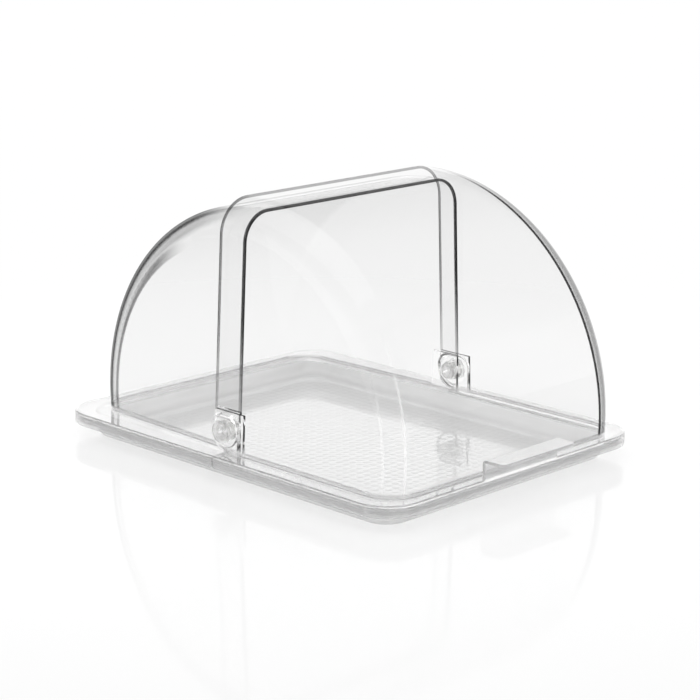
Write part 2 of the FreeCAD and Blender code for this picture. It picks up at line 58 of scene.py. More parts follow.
class Kind(Enum):
    """The kinds of shader node in use: each one's type name and settings."""

    PLUS = ("ShaderNodeMath", {"operation": "ADD"})
    PLUS_TO_ONE = ("ShaderNodeMath", {"operation": "ADD", "use_clamp": True})
    MINUS = ("ShaderNodeMath", {"operation": "SUBTRACT"})
    TIMES = ("ShaderNodeMath", {"operation": "MULTIPLY"})
    OVER = ("ShaderNodeMath", {"operation": "DIVIDE"})
    SMALLER = ("ShaderNodeMath", {"operation": "MINIMUM"})
    LARGER = ("ShaderNodeMath", {"operation": "MAXIMUM"})
    UNSIGNED = ("ShaderNodeMath", {"operation": "ABSOLUTE"})
    SIGN = ("ShaderNodeMath", {"operation": "SIGN"})

    # Fed in order: a value, where its slope starts and ends, and what comes out there (else 0 and 1).
    EASE = ("ShaderNodeMapRange", {"interpolation_type": "SMOOTHSTEP"})
    RAMP = ("ShaderNodeValToRGB", {})

    SPLIT = ("ShaderNodeSeparateXYZ", {})
    JOIN = ("ShaderNodeCombineXYZ", {})
    LENGTH = ("ShaderNodeVectorMath", {"operation": "LENGTH"})
    DIRECTION = ("ShaderNodeVectorMath", {"operation": "NORMALIZE"})
    VECTOR_PLUS = ("ShaderNodeVectorMath", {"operation": "ADD"})
    NORMAL_TO_WORLD = ("ShaderNodeVectorTransform", {
        "vector_type": "NORMAL", "convert_from": "OBJECT", "convert_to": "WORLD"})

    PLACE = ("ShaderNodeTexCoord", {})
    SURFACE_SIDE = ("ShaderNodeNewGeometry", {})
    RAY = ("ShaderNodeLightPath", {})
    TURNED_AWAY = ("ShaderNodeLayerWeight", {})
    FRESNEL = ("ShaderNodeFresnel", {})
    NOISE = ("ShaderNodeTexNoise", {})
    BUMP = ("ShaderNodeBump", {})

    CLEAR = ("ShaderNodeBsdfTransparent", {})
    GLOSS = ("ShaderNodeBsdfGlossy", {})
    DIFFUSE = ("ShaderNodeBsdfDiffuse", {})
    PLASTIC = ("ShaderNodeBsdfPrincipled", {})
    GLOW = ("ShaderNodeEmission", {})
    BACKGROUND = ("ShaderNodeBackground", {})

    # Fed in order: the second finish's share, the first finish, the second finish.
    MIX = ("ShaderNodeMixShader", {})
    MATERIAL_OUTPUT = ("ShaderNodeOutputMaterial", {})
    WORLD_OUTPUT = ("ShaderNodeOutputWorld", {})


def linear_value(value: float) -> float:
    """Turn one sRGB value into linear light.

    Args:
        value: 0 for none to 1 for full.

    Returns:
        The value in linear light.
    """
    if value <= CURVE_START:
        return value / CURVE_SLOPE
    return ((value + CURVE_OFFSET) / (1.0 + CURVE_OFFSET)) ** CURVE_POWER


def linear(hex_colour: str) -> Colour:
    """Turn an sRGB hex colour into linear light.

    Args:
        hex_colour: Six hex digits with a leading hash.

    Returns:
        Red, green, blue and alpha in linear light.
    """
    digits = hex_colour.removeprefix("#")
    red, green, blue = (linear_value(byte / BYTE_TOP) for byte in bytes.fromhex(digits))
    return (red, green, blue, 1.0)


def grey(amount: float) -> Colour:
    """Linear grey of one amount, from 0 for black to 1 for white."""
    return (amount, amount, amount, 1.0)


def add_node(tree: bpy.types.NodeTree, kind: Kind, inputs: dict | tuple = ()) -> bpy.types.Node:
    """Add one shader node with its settings, values and links.

    Args:
        tree: The node tree that takes the node.
        kind: The node's kind, which brings its settings.
        inputs: What feeds its sockets, by name or else in order. A feed is a value, a socket, or a node,
            which gives its first output.

    Returns:
        The new node.
    """
    type_name, settings = kind.value
    node = tree.nodes.new(type_name)
    for name, value in settings.items():
        setattr(node, name, value)
    feeds = inputs.items() if isinstance(inputs, dict) else enumerate(inputs)
    for socket, feed in feeds:
        source = feed.outputs[0] if isinstance(feed, bpy.types.Node) else feed
        if isinstance(source, bpy.types.NodeSocket):
            tree.links.new(source, node.inputs[socket])
        else:
            node.inputs[socket].default_value = source
    return node


def set_stops(node: bpy.types.Node, stops: list[tuple[float, Colour]]) -> None:
    """Set the stops of a new ramp.

    Args:
        node: The ramp.
        stops: Place and linear colour of each stop, in order, at least two.
    """
    elements = node.color_ramp.elements
    for number, (place, colour) in enumerate(stops):
        element = elements[number] if number < len(elements) else elements.new(place)
        element.position = place
        element.color = colour


def empty_material(name: str) -> tuple[bpy.types.Material, bpy.types.NodeTree]:
    """Make a material with no nodes in it.

    Args:
        name: The material's name.

    Returns:
        The material and its node tree.
    """
    material = bpy.data.materials.new(name)
    material.use_nodes = True
    material.node_tree.nodes.clear()
    return material, material.node_tree


def glass_behind_shadow(tree: bpy.types.NodeTree, surface: Feed, shade: str) -> None:
    """Finish a clear material so that it throws only the faint shadow that clear plastic throws.

    Args:
        tree: The material's node tree.
        surface: The finish that the eye sees.
        shade: sRGB colour of the light that comes through one wall.
    """
    passing = add_node(tree, Kind.CLEAR, {"Color": linear(shade)})
    ray = add_node(tree, Kind.RAY)
    mix = add_node(tree, Kind.MIX, (ray.outputs["Is Shadow Ray"], surface, passing))
    add_node(tree, Kind.MATERIAL_OUTPUT, {"Surface": mix})


def piece_place(tree: bpy.types.NodeTree) -> bpy.types.Node:
    """Where a point is on its piece, split along the three axes."""
    place = add_node(tree, Kind.PLACE)
    return add_node(tree, Kind.SPLIT, {"Vector": place.outputs["Object"]})


def met_outside(tree: bpy.types.NodeTree) -> bpy.types.Node:
    """Whether the light meets a surface from its outer side: 1, or 0 from its inner side."""
    side = add_node(tree, Kind.SURFACE_SIDE)
    return add_node(tree, Kind.MINUS, (1.0, side.outputs["Backfacing"]))


def thin_clear(tree: bpy.types.NodeTree, tint: str, ior: float, roughness: float,
               gloss_share: float = 1.0) -> bpy.types.Node:
    """Clear wall so thin that light goes straight on through it, with a gloss on its outer side.

    Args:
        tree: The node tree that takes it.
        tint: sRGB colour of the light that comes through one surface.
        ior: The plastic's refractive index.
        roughness: How blurred its gloss is.
        gloss_share: Share of its gloss that is kept.

    Returns:
        The finish.
    """
    through = add_node(tree, Kind.CLEAR, {"Color": linear(tint)})
    gloss = add_node(tree, Kind.GLOSS, {"Color": WHITE, "Roughness": roughness})
    fresnel = add_node(tree, Kind.FRESNEL, {"IOR": ior})
    outer = add_node(tree, Kind.TIMES, (fresnel, met_outside(tree)))
    mirrored = add_node(tree, Kind.TIMES, (outer, gloss_share))
    return add_node(tree, Kind.MIX, (mirrored, through, gloss))


def solid_clear(tree: bpy.types.NodeTree, tint: str, ior: float, roughness: float,
                haze_share: float) -> bpy.types.Node:
    """Clear plastic that bends light, with a little of the haze that thick mouldings have.

    Args:
        tree: The node tree that takes it.
        tint: sRGB colour of the plastic.
        ior: The plastic's refractive index.
        roughness: How blurred its gloss is.
        haze_share: How much of it is haze.

    Returns:
        The finish.
    """
    glass = add_node(tree, Kind.PLASTIC, {
        "Base Color": linear(tint), "Roughness": roughness, "IOR": ior, "Transmission Weight": 1.0})
    haze = add_node(tree, Kind.DIFFUSE, {"Color": linear(tint)})
    return add_node(tree, Kind.MIX, (haze_share, glass, haze))


class CutEdge(Enum):
    """Which end of a cover has its cut edge: the way from its wall to the edge, along the bin."""

    FRONT = -1
    REAR = 1


@dataclass(frozen=True)
class BarrelShape:
    """Where a cover's barrel is, in metres.

    Attributes:
        radius: Outer radius round the pivots.
        corner: Radius of the long corner between barrel and side wall.
        side: Half the width over the side walls, at the pivots.
        cone: Whether the side walls lean in with the distance from the pivots, or with the height alone.
        cut: Which end has the cut edge.
        cut_place: Where the cut edge is along the bin.
        cut_width: How wide the painted dark line of shade beside it is.
        cut_painted_shade: How dark that line is, as a share.
    """

    radius: float
    corner: float
    side: float
    cone: bool
    cut: CutEdge
    cut_place: float
    cut_width: float
    cut_painted_shade: float


@dataclass(frozen=True)
class PaintedCornerShade:
    """Painted shade on a cover's long corner: how dark it is painted, by how much it turns away: 0 face on,
    1 edge on.

    Attributes:
        line: The dark line where the corner starts, as stops of (turned away, dark share).
        band: The wider band beside it.
        outline: The dark share at the very edge.
        window: Where round the corner the line starts, is full, starts to end and has ended.
    """

    line: tuple[Pair, ...]
    band: tuple[Pair, ...]
    outline: float
    window: Run


FRONT_BARREL = BarrelShape(radius=188.4 * MM, corner=30.0 * MM, side=138.5 * MM, cone=False,
                           cut=CutEdge.REAR, cut_place=14.2 * MM, cut_width=1.0 * MM, cut_painted_shade=0.7)
REAR_BARREL = BarrelShape(radius=179.9 * MM, corner=26.0 * MM, side=133.7 * MM, cone=True,
                          cut=CutEdge.FRONT, cut_place=-9.9 * MM, cut_width=2.2 * MM, cut_painted_shade=0.95)
# Painted shade on each cover's long corners: dark lines and bands, by how far the wall turns away.
FRONT_PAINTED_CORNER_SHADE = PaintedCornerShade(
    line=((0.345, 0.0), (0.36, 0.95)),
    band=((0.36, 0.0), (0.42, 0.9), (0.5, 0.72), (0.6, 0.58), (0.75, 0.6), (0.9, 0.3)),
    outline=0.2, window=(0.02, 0.05, 0.12, 0.17))
REAR_PAINTED_CORNER_SHADE = PaintedCornerShade(
    line=((0.305, 0.0), (0.35, 0.55), (0.41, 0.75), (0.46, 0.35), (0.52, 0.0)),
    band=((0.4, 0.0), (0.47, 0.4), (0.56, 0.35), (0.66, 0.95), (0.8, 0.7)),
    outline=0.85, window=(-0.12, -0.04, 0.3, 0.4))


@dataclass(frozen=True)
class WallPoint:
    """What a cover's finish works out for a point of its wall.

    Attributes:
        tree: The material's node tree.
        split: The point's place along each axis.
        section: The way to it from the pivots, along the bin and upwards.
        across: How far round the long corner it is sideways: 0 at the corner's start, 1 at its end.
        around: The same, away from the pivots.
        facing: How far the wall turns away from the eye there: 0 face on, 1 edge on.
    """

    tree: bpy.types.NodeTree
    split: bpy.types.Node
    section: bpy.types.Node
    across: bpy.types.Node
    around: bpy.types.Node
    facing: bpy.types.NodeSocket


@dataclass(frozen=True)
class CoverPolycarbonate:
    """Injection-moulded polycarbonate of the covers.

    Water clear on its face. Where a wall is seen edge on, at the rounded corners and at the cut edges,
    light runs along inside it and comes out elsewhere, so the eye sees a dark line there. These dark lines
    are painted shade, and the bright lines on the corners are painted highlights.
    """

    name: str
    shape: BarrelShape
    look: PaintedCornerShade

    # Light that comes through: the walls, the flange, the flange's thin share, a painted dark line, a
    # shadow.
    # The flange's greyer tints are painted shade: the shade under the flange, seen through it.
    face: str = "#FCFCFC"
    rim: str = "#DEDEDE"
    rim_face: str = "#F0F0F0"
    dark: str = "#1E1E1E"
    shade: str = "#F5F5F5"

    # The surface, and how much of its gloss the thin walls keep.
    ior: float = 1.585
    roughness: float = 0.01
    gloss_share: float = 0.3

    # Where the parts of a cover are. The wall's share is its thickness over the corner's radius.
    pivot_height: float = 40.8 * MM
    side_lean: float = 0.0455
    wall_share: float = 2.3 / 30.0
    rim_top: Pair = (24.0 * MM, 26.0 * MM)
    rim_ends: Pair = (188.5 * MM, 190.0 * MM)
    pad_half_width: float = 19.0 * MM
    pad_top: float = 56.0 * MM
    pad_blend: float = 1.0 * MM

    # Flange, skirt, lip and pads: what goes straight through, the haze, and the painted dark line of shade
    # at a low angle.
    rim_thin_share: float = 0.2
    rim_haze_share: float = 0.06
    pad_haze_share: float = 0.0
    painted_rim_shade_line: Run = (0.84, 0.96, 0.0, 0.6)

    # Painted shade: flat walls are darkened as they turn away: from and to which turn, and the dark shares
    # there.
    painted_flat_shade: Run = (0.4, 0.75, 0.0, 0.05)
    painted_flat_edge_shade: Run = (0.93, 1.0, 0.0, 0.25)

    # Painted shade on the long corners: where the band grows, and the turns from and to which outline, line
    # and band show.
    band_start: Pair = (0.0, 0.35)
    outline_turned: Pair = (0.72, 0.88)
    line_turned: Pair = (0.6, 0.8)
    band_turned: Pair = (0.38, 0.62)

    # Painted highlights: bright lines of the long corners, in shares of the corner, and how far along the
    # bin they show.
    painted_highlight_place: float = 0.47
    painted_highlight_width: float = 0.06
    painted_highlight_share: float = 0.3
    painted_highlight_start: Pair = (0.3, 0.5)
    painted_highlight_reach: Pair = (150.0 * MM, 182.0 * MM)

    # Painted shade beside the cut edge: the heights between which the line darkens, and its faint and full
    # shares.
    cut_rise: Run = (40.0 * MM, 140.0 * MM, 0.35, 1.0)

    def build(self) -> bpy.types.Material:
        """Make the material.

        Returns:
            The material.
        """
        material, tree = empty_material(self.name)
        point = self.wall_point(tree)
        # White diffuse in thin lines along the corners: painted highlights.
        white = add_node(tree, Kind.DIFFUSE, {"Color": WHITE})
        with_painted_highlights = add_node(tree, Kind.MIX, (self.painted_highlight_lines(point), self.clear_wall_with_painted_shade(point), white))
        pad = solid_clear(tree, self.face, self.ior, self.roughness, self.pad_haze_share)
        with_pad = add_node(tree, Kind.MIX, (self.on_pad(point), with_painted_highlights, pad))
        whole = add_node(tree, Kind.MIX, (self.on_rim(point), with_pad, self.thick_rim(point)))
        glass_behind_shadow(tree, whole, self.shade)
        return material

    def wall_point(self, tree: bpy.types.NodeTree) -> WallPoint:
        """Work out where a point is on the wall, and how far the wall turns away there.

        Args:
            tree: The material's node tree.

        Returns:
            The point.
        """
        split = piece_place(tree)
        upright = add_node(tree, Kind.MINUS, (split.outputs["Z"], self.pivot_height))
        section = add_node(tree, Kind.JOIN, {"Y": split.outputs["Y"], "Z": upright})
        reach = add_node(tree, Kind.LENGTH, (section,)).outputs["Value"]
        leaning = add_node(tree, Kind.TIMES, (reach if self.shape.cone else upright, self.side_lean))
        sideways = add_node(tree, Kind.UNSIGNED, (split.outputs["X"],))
        side = add_node(tree, Kind.PLUS, (sideways, leaning))
        corner = self.shape.corner
        past_side = add_node(tree, Kind.MINUS, (side, self.shape.side - corner))
        past_barrel = add_node(tree, Kind.MINUS, (reach, self.shape.radius - corner))
        across = add_node(tree, Kind.OVER, (past_side, corner))
        around = add_node(tree, Kind.OVER, (past_barrel, corner))
        turned = add_node(tree, Kind.TURNED_AWAY, {"Blend": EVEN_BLEND})
        return WallPoint(tree, split, section, across, around, turned.outputs["Facing"])

    def clear_wall_with_painted_shade(self, point: WallPoint) -> bpy.types.Node:
        """Thin clear wall with painted shade: dark lines at the corners and beside the cut edge.

        Args:
            point: The point of the wall.

        Returns:
            The finish.
        """
        tree = point.tree
        panel = thin_clear(tree, self.face, self.ior, self.roughness, self.gloss_share)
        darkness = add_node(tree, Kind.LARGER, (self.painted_edge_on_shade(point), self.painted_cut_shade(point)))
        dark = add_node(tree, Kind.CLEAR, {"Color": linear(self.dark)})
        return add_node(tree, Kind.MIX, (darkness, panel, dark))

    def thick_rim(self, point: WallPoint) -> bpy.types.Node:
        """Flange, skirt and lip: glass that bends light, eased by some that goes straight through; its
        greyer tint and its dark line at a low angle are painted shade.

        Args:
            point: The point of the rim.

        Returns:
            The finish.
        """
        tree = point.tree
        solid = solid_clear(tree, self.rim, self.ior, self.roughness, self.rim_haze_share)
        thin = thin_clear(tree, self.rim_face, self.ior, self.roughness)
        mix = add_node(tree, Kind.MIX, (self.rim_thin_share, solid, thin))
        dark = add_node(tree, Kind.CLEAR, {"Color": linear(self.dark)})
        line = add_node(tree, Kind.EASE, (point.facing, *self.painted_rim_shade_line))
        return add_node(tree, Kind.MIX, (line, mix, dark))

    def on_rim(self, point: WallPoint) -> bpy.types.Node:
        """Where the flange, its skirt and the finger lip are.

        Args:
            point: The point of the cover.

        Returns:
            1 there, 0 elsewhere.
        """
        tree = point.tree
        low = add_node(tree, Kind.EASE, (point.split.outputs["Z"], *self.rim_top, 1.0, 0.0))
        lengthways = add_node(tree, Kind.UNSIGNED, (point.split.outputs["Y"],))
        ends = add_node(tree, Kind.EASE, (lengthways, *self.rim_ends))
        return add_node(tree, Kind.LARGER, (low, ends))

    def on_pad(self, point: WallPoint) -> bpy.types.Node:
        """Where the raised pivot pads are.

        Args:
            point: The point of the cover.

        Returns:
            1 there, 0 elsewhere.
        """
        tree = point.tree
        lengthways = add_node(tree, Kind.UNSIGNED, (point.split.outputs["Y"],))
        beside = add_node(tree, Kind.EASE, (
            lengthways, self.pad_half_width, self.pad_half_width + self.pad_blend, 1.0, 0.0))
        below = add_node(tree, Kind.EASE, (
            point.split.outputs["Z"], self.pad_top, self.pad_top + self.pad_blend, 1.0, 0.0))
        return add_node(tree, Kind.TIMES, (beside, below))

    def painted_edge_on_shade(self, point: WallPoint) -> bpy.types.Node:
        """Painted shade where the eye meets the wall at a low angle, most of all at its corners.

        Args:
            point: The point of the wall.

        Returns:
            The dark share.
        """
        tree = point.tree
        dim = add_node(tree, Kind.EASE, (point.facing, *self.painted_flat_shade))
        edge = add_node(tree, Kind.EASE, (point.facing, *self.painted_flat_edge_shade))
        flat = add_node(tree, Kind.PLUS, (dim, edge))
        middle = self.middle_turned(point)
        painted_darkest = add_node(tree, Kind.LARGER, (
            self.painted_corner_shade_line(point, middle), self.painted_corner_shade_band(point, middle)))
        corner = add_node(tree, Kind.TIMES, (painted_darkest, self.on_outer_skin(point)))
        return add_node(tree, Kind.LARGER, (flat, corner))

    def painted_corner_shade_line(self, point: WallPoint, middle: Feed) -> bpy.types.Node:
        """The thin painted dark line of shade where the long corner starts.

        Args:
            point: The point of the wall.
            middle: How far the corner's middle turns away.

        Returns:
            The dark share.
        """
        tree = point.tree
        begun, full, ending, ended = self.look.window
        place = add_node(tree, Kind.SMALLER, (point.across, point.around))
        after = add_node(tree, Kind.EASE, (place, begun, full))
        before = add_node(tree, Kind.EASE, (place, ending, ended, 1.0, 0.0))
        window = add_node(tree, Kind.TIMES, (after, before))
        line = add_node(tree, Kind.TIMES, (self.painted_shade_by_turn(point, self.look.line), window))
        seen = add_node(tree, Kind.EASE, (middle, *self.line_turned))
        return add_node(tree, Kind.TIMES, (line, seen))

    def painted_corner_shade_band(self, point: WallPoint, middle: Feed) -> bpy.types.Node:
        """The wider painted dark band of shade on the long corner, and the corner's painted outline.

        Args:
            point: The point of the wall.
            middle: How far the corner's middle turns away.

        Returns:
            The dark share.
        """
        tree = point.tree
        sideways = add_node(tree, Kind.EASE, (point.across, *self.band_start))
        outwards = add_node(tree, Kind.EASE, (point.around, *self.band_start))
        turning = add_node(tree, Kind.TIMES, (sideways, outwards))
        band = add_node(tree, Kind.TIMES, (self.painted_shade_by_turn(point, self.look.band), turning))
        edge = add_node(tree, Kind.EASE, (point.facing, *self.outline_turned, 0.0, self.look.outline))
        outline = add_node(tree, Kind.TIMES, (turning, edge))
        painted_darkest = add_node(tree, Kind.LARGER, (band, outline))
        seen = add_node(tree, Kind.EASE, (middle, *self.band_turned))
        return add_node(tree, Kind.TIMES, (painted_darkest, seen))

    def painted_shade_by_turn(self, point: WallPoint, shares: tuple[Pair, ...]) -> bpy.types.Node:
        """A share of painted shade for each angle at which the wall is seen.

        Args:
            point: The point of the wall.
            shares: Stops of (turned away, dark share), in order.

        Returns:
            The dark share.
        """
        node = add_node(point.tree, Kind.RAMP, (point.facing,))
        set_stops(node, [(place, grey(share)) for place, share in shares])
        return node

    def middle_turned(self, point: WallPoint) -> bpy.types.NodeSocket:
        """How far the middle of the long corner turns away from the eye: met face on, it stays clear of
        painted shade.

        Args:
            point: The point of the wall.

        Returns:
            0 for face on to 1 for edge on.
        """
        tree = point.tree
        outwards = add_node(tree, Kind.DIRECTION, (point.section,))
        side = add_node(tree, Kind.SIGN, (point.split.outputs["X"],))
        sideways = add_node(tree, Kind.JOIN, {"X": side})
        between = add_node(tree, Kind.VECTOR_PLUS, (outwards, sideways))
        normal = add_node(tree, Kind.NORMAL_TO_WORLD, (between,))
        turned = add_node(tree, Kind.TURNED_AWAY, {"Blend": EVEN_BLEND, "Normal": normal})
        return turned.outputs["Facing"]

    def on_outer_skin(self, point: WallPoint) -> bpy.types.Node:
        """Whether this is the outer skin, met from outside: the other skin would double each painted line.

        Args:
            point: The point of the wall.

        Returns:
            1 there, 0 elsewhere.
        """
        tree = point.tree
        sideways = add_node(tree, Kind.LARGER, (point.across, 0.0))
        outwards = add_node(tree, Kind.LARGER, (point.around, 0.0))
        place = add_node(tree, Kind.JOIN, (sideways, outwards))
        depth = add_node(tree, Kind.LENGTH, (place,)).outputs["Value"]
        half_wall = self.wall_share / 2
        middle = 1.0 - half_wall
        outer = add_node(tree, Kind.EASE, (depth, middle - half_wall / 2, middle + half_wall / 2))
        return add_node(tree, Kind.TIMES, (outer, met_outside(tree)))

    def painted_highlight_lines(self, point: WallPoint) -> bpy.types.Node:
        """Two thin painted highlights along each long corner, where its round would catch the light.

        Args:
            point: The point of the wall.

        Returns:
            The white share.
        """
        tree = point.tree
        lines = []
        for along, other in ((point.across, point.around), (point.around, point.across)):
            past = add_node(tree, Kind.MINUS, (along, self.painted_highlight_place))
            off = add_node(tree, Kind.UNSIGNED, (past,))
            line = add_node(tree, Kind.EASE, (off, 0.0, self.painted_highlight_width, self.painted_highlight_share, 0.0))
            begun = add_node(tree, Kind.EASE, (other, *self.painted_highlight_start))
            lines.append(add_node(tree, Kind.TIMES, (line, begun)))
        lengthways = add_node(tree, Kind.UNSIGNED, (point.split.outputs["Y"],))
        away = add_node(tree, Kind.EASE, (lengthways, *self.painted_highlight_reach))
        seen = add_node(tree, Kind.TIMES, (away, self.on_outer_skin(point)))
        painted_brightest = add_node(tree, Kind.LARGER, tuple(lines))
        return add_node(tree, Kind.TIMES, (painted_brightest, seen))

    def painted_cut_shade(self, point: WallPoint) -> bpy.types.Node:
        """Painted shade: how dark the wall is painted beside its cut edge, fading towards the bright floor.

        Args:
            point: The point of the wall.

        Returns:
            The dark share.
        """
        tree = point.tree
        shape = self.shape
        past = add_node(tree, Kind.TIMES, (point.split.outputs["Y"], float(shape.cut.value)))
        edge = shape.cut.value * shape.cut_place
        line = add_node(tree, Kind.EASE, (past, edge - shape.cut_width, edge - shape.cut_width / 2))
        height = add_node(tree, Kind.EASE, (point.split.outputs["Z"], *self.cut_rise))
        strength = add_node(tree, Kind.TIMES, (line, shape.cut_painted_shade))
        return add_node(tree, Kind.TIMES, (strength, height))


@dataclass(frozen=True)
class TrayPolycarbonate:
    """Injection-moulded polycarbonate of the tray.

    Clear and glossy at its rim. Its walls and its textured floor scatter light, so they look milky. The
    floor's darker tint is painted shade: the shaded counter seen through it.
    """

    name: str = "glossy_tray_polycarbonate"
    wall: str = "#ECECEC"
    rim: str = "#EEEEEE"
    # The floor's darker tint is painted shade: the shaded counter seen through the clear floor.
    floor: str = "#D8D8D8"
    shade: str = "#F0F0F0"
    ior: float = 1.585
    roughness: float = 0.02
    rim_haze_share: float = 0.12
    wall_haze_share: float = 0.55
    floor_haze_share: float = 0.8
    floor_top: Pair = (3.3 * MM, 4.5 * MM)
    wall_top: Pair = (16.0 * MM, 18.5 * MM)

    def build(self) -> bpy.types.Material:
        """Make the material.

        Returns:
            The material.
        """
        material, tree = empty_material(self.name)
        height = piece_place(tree).outputs["Z"]
        above_floor = add_node(tree, Kind.EASE, (height, *self.floor_top))
        above_wall = add_node(tree, Kind.EASE, (height, *self.wall_top))
        rim = solid_clear(tree, self.rim, self.ior, self.roughness, self.rim_haze_share)
        wall = solid_clear(tree, self.wall, self.ior, self.roughness, self.wall_haze_share)
        low = add_node(tree, Kind.MIX, (above_floor, self.moulded_floor(tree), wall))
        whole = add_node(tree, Kind.MIX, (above_wall, low, rim))
        glass_behind_shadow(tree, whole, self.shade)
        return material

    def moulded_floor(self, tree: bpy.types.NodeTree) -> bpy.types.Node:
        """Floor: hazy from its texture, in a darker tint that is painted shade, with a clear gloss on top
        that mirrors the walls.

        Args:
            tree: The node tree that takes it.

        Returns:
            The finish.
        """
        return add_node(tree, Kind.PLASTIC, {
            "Base Color": linear(self.floor), "Roughness": self.roughness, "IOR": self.ior,
            "Transmission Weight": 1.0 - self.floor_haze_share})

    def build_nubs(self) -> bpy.types.Material:
        """Make the material of the floor's nubs, the same plastic as the floor's.

        Returns:
            The material.
        """
        material, tree = empty_material(self.name + "_nubs")
        glass_behind_shadow(tree, self.moulded_floor(tree), self.shade)
        return material


@dataclass(frozen=True)
class PinPolycarbonate:
    """Turned clear polycarbonate of pins and retainers: glossy, and bright where it bends light."""

    name: str = "turned_clear_polycarbonate"
    colour: str = "#FAFAFA"
    shade: str = "#ECECEC"
    ior: float = 1.585
    roughness: float = 0.02
    glass_share: float = 0.65

    def build(self) -> bpy.types.Material:
        """Make the material.

        Returns:
            The material.
        """
        material, tree = empty_material(self.name)
        glass = add_node(tree, Kind.PLASTIC, {
            "Base Color": linear(self.colour), "Roughness": self.roughness, "IOR": self.ior,
            "Transmission Weight": 1.0})
        thin = thin_clear(tree, self.colour, self.ior, self.roughness)
        mix = add_node(tree, Kind.MIX, (self.glass_share, thin, glass))
        glass_behind_shadow(tree, mix, self.shade)
        return material


@dataclass(frozen=True)
class NaturalNylon:
    """Turned natural nylon of the spacers: milky, slightly shining through, with a soft shine.

    Its grain is drawn coarser than real turning marks, which are too fine to show.
    """

    name: str = "natural_nylon_turned"
    colour: str = "#F7F7F5"
    shade: str = "#E4E4E4"
    ior: float = 1.53
    roughness: float = 0.2
    through_share: float = 0.92
    grain: float = 0.8 * MM
    grain_depth: float = 0.05 * MM
    grain_share: float = 0.1

    def build(self) -> bpy.types.Material:
        """Make the material.

        Returns:
            The material.
        """
        material, tree = empty_material(self.name)
        place = add_node(tree, Kind.PLACE)
        noise = add_node(tree, Kind.NOISE, {"Vector": place.outputs["Object"], "Scale": 1 / self.grain})
        bump = add_node(tree, Kind.BUMP, {
            "Strength": self.grain_share, "Distance": self.grain_depth, "Height": noise})
        shader = add_node(tree, Kind.PLASTIC, {
            "Base Color": linear(self.colour), "Roughness": self.roughness, "IOR": self.ior,
            "Transmission Weight": self.through_share, "Normal": bump})
        glass_behind_shadow(tree, shader, self.shade)
        return material


def finish_mesh(name: str, mesh: bmesh.types.BMesh, material: bpy.types.Material) -> bpy.types.Object:
    """Turn a bmesh into a smooth-shaded object at the origin.

    Args:
        name: The piece's name.
        mesh: Its geometry, in metres.
        material: Its finish.

    Returns:
        The new object, linked to the scene.
    """
    for face in mesh.faces:
        face.smooth = True
    data = bpy.data.meshes.new(name)
    mesh.to_mesh(data)
    mesh.free()
    data.materials.append(material)
    piece = bpy.data.objects.new(name, data)
    bpy.context.scene.collection.objects.link(piece)
    return piece


@dataclass
class TrayFloorNubs:
    """Low round nubs moulded in rows all over the tray's floor, so that bread doesn't stick to it."""

    pitch: float = 8.0 * MM
    radius: float = 3.4 * MM
    height: float = 0.1 * MM
    sink: float = 0.01 * MM
    floor: float = 3.0 * MM
    half_width: float = 122.0 * MM
    half_length: float = 162.0 * MM
    corner: float = 10.0 * MM
    segments: int = 10
    rings: int = 8

    def build(self, material: bpy.types.Material) -> bpy.types.Object:
        """Make all nubs as one piece.

        Args:
            material: The nubs' finish.

        Returns:
            The piece.
        """
        mesh = bmesh.new()
        self.shape_one(mesh)
        self.repeat(mesh)
        outside = [vert for vert in mesh.verts if self.is_outside(vert.co)]
        bmesh.ops.delete(mesh, geom=outside, context="VERTS")
        piece = finish_mesh("tray_floor_nubs", mesh, material)
        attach(piece, "base")
        return piece

    def shape_one(self, mesh: bmesh.types.BMesh) -> None:
        """Shape one nub at the origin: half of a flattened ball, closed on its flat side.

        Args:
            mesh: The mesh that takes it.
        """
        bmesh.ops.create_uvsphere(mesh, u_segments=self.segments, v_segments=self.rings, radius=self.radius)
        bmesh.ops.bisect_plane(mesh, geom=mesh.verts[:] + mesh.edges[:] + mesh.faces[:],
                               plane_co=(0, 0, 0), plane_no=(0, 0, -1), clear_outer=True)
        bmesh.ops.scale(mesh, vec=(1, 1, self.height / self.radius), verts=mesh.verts[:])
        bmesh.ops.holes_fill(mesh, edges=mesh.edges[:], sides=0)

    def repeat(self, mesh: bmesh.types.BMesh) -> None:
        """Move the one nub to a corner of the floor and repeat it in rows from there.

        Args:
            mesh: The mesh that holds it.
        """
        across = int(self.half_width // self.pitch)
        along = int(self.half_length // self.pitch)
        corner = Vector((-across * self.pitch, -along * self.pitch, self.floor - self.sink))
        bmesh.ops.translate(mesh, vec=corner, verts=mesh.verts[:])
        one_row = (Vector((self.pitch, 0, 0)), 2 * across)
        all_rows = (Vector((0, self.pitch, 0)), 2 * along)
        for step, count in (one_row, all_rows):
            bmesh.ops.spin(mesh, geom=mesh.verts[:] + mesh.edges[:] + mesh.faces[:], cent=(0, 0, 0),
                           axis=(0, 0, 1), dvec=step, angle=0, steps=count, use_duplicate=True)

    def is_outside(self, place: Vector) -> bool:
        """Find whether the nub at a place lies outside the floor's rounded corners.

        Args:
            place: A place on the nub.

        Returns:
            Whether it does.
        """
        x = round(place.x / self.pitch) * self.pitch
        y = round(place.y / self.pitch) * self.pitch
        past_x = max(abs(x) - self.half_width + self.corner, 0)
        past_y = max(abs(y) - self.half_length + self.corner, 0)
        return math.hypot(past_x, past_y) > self.corner


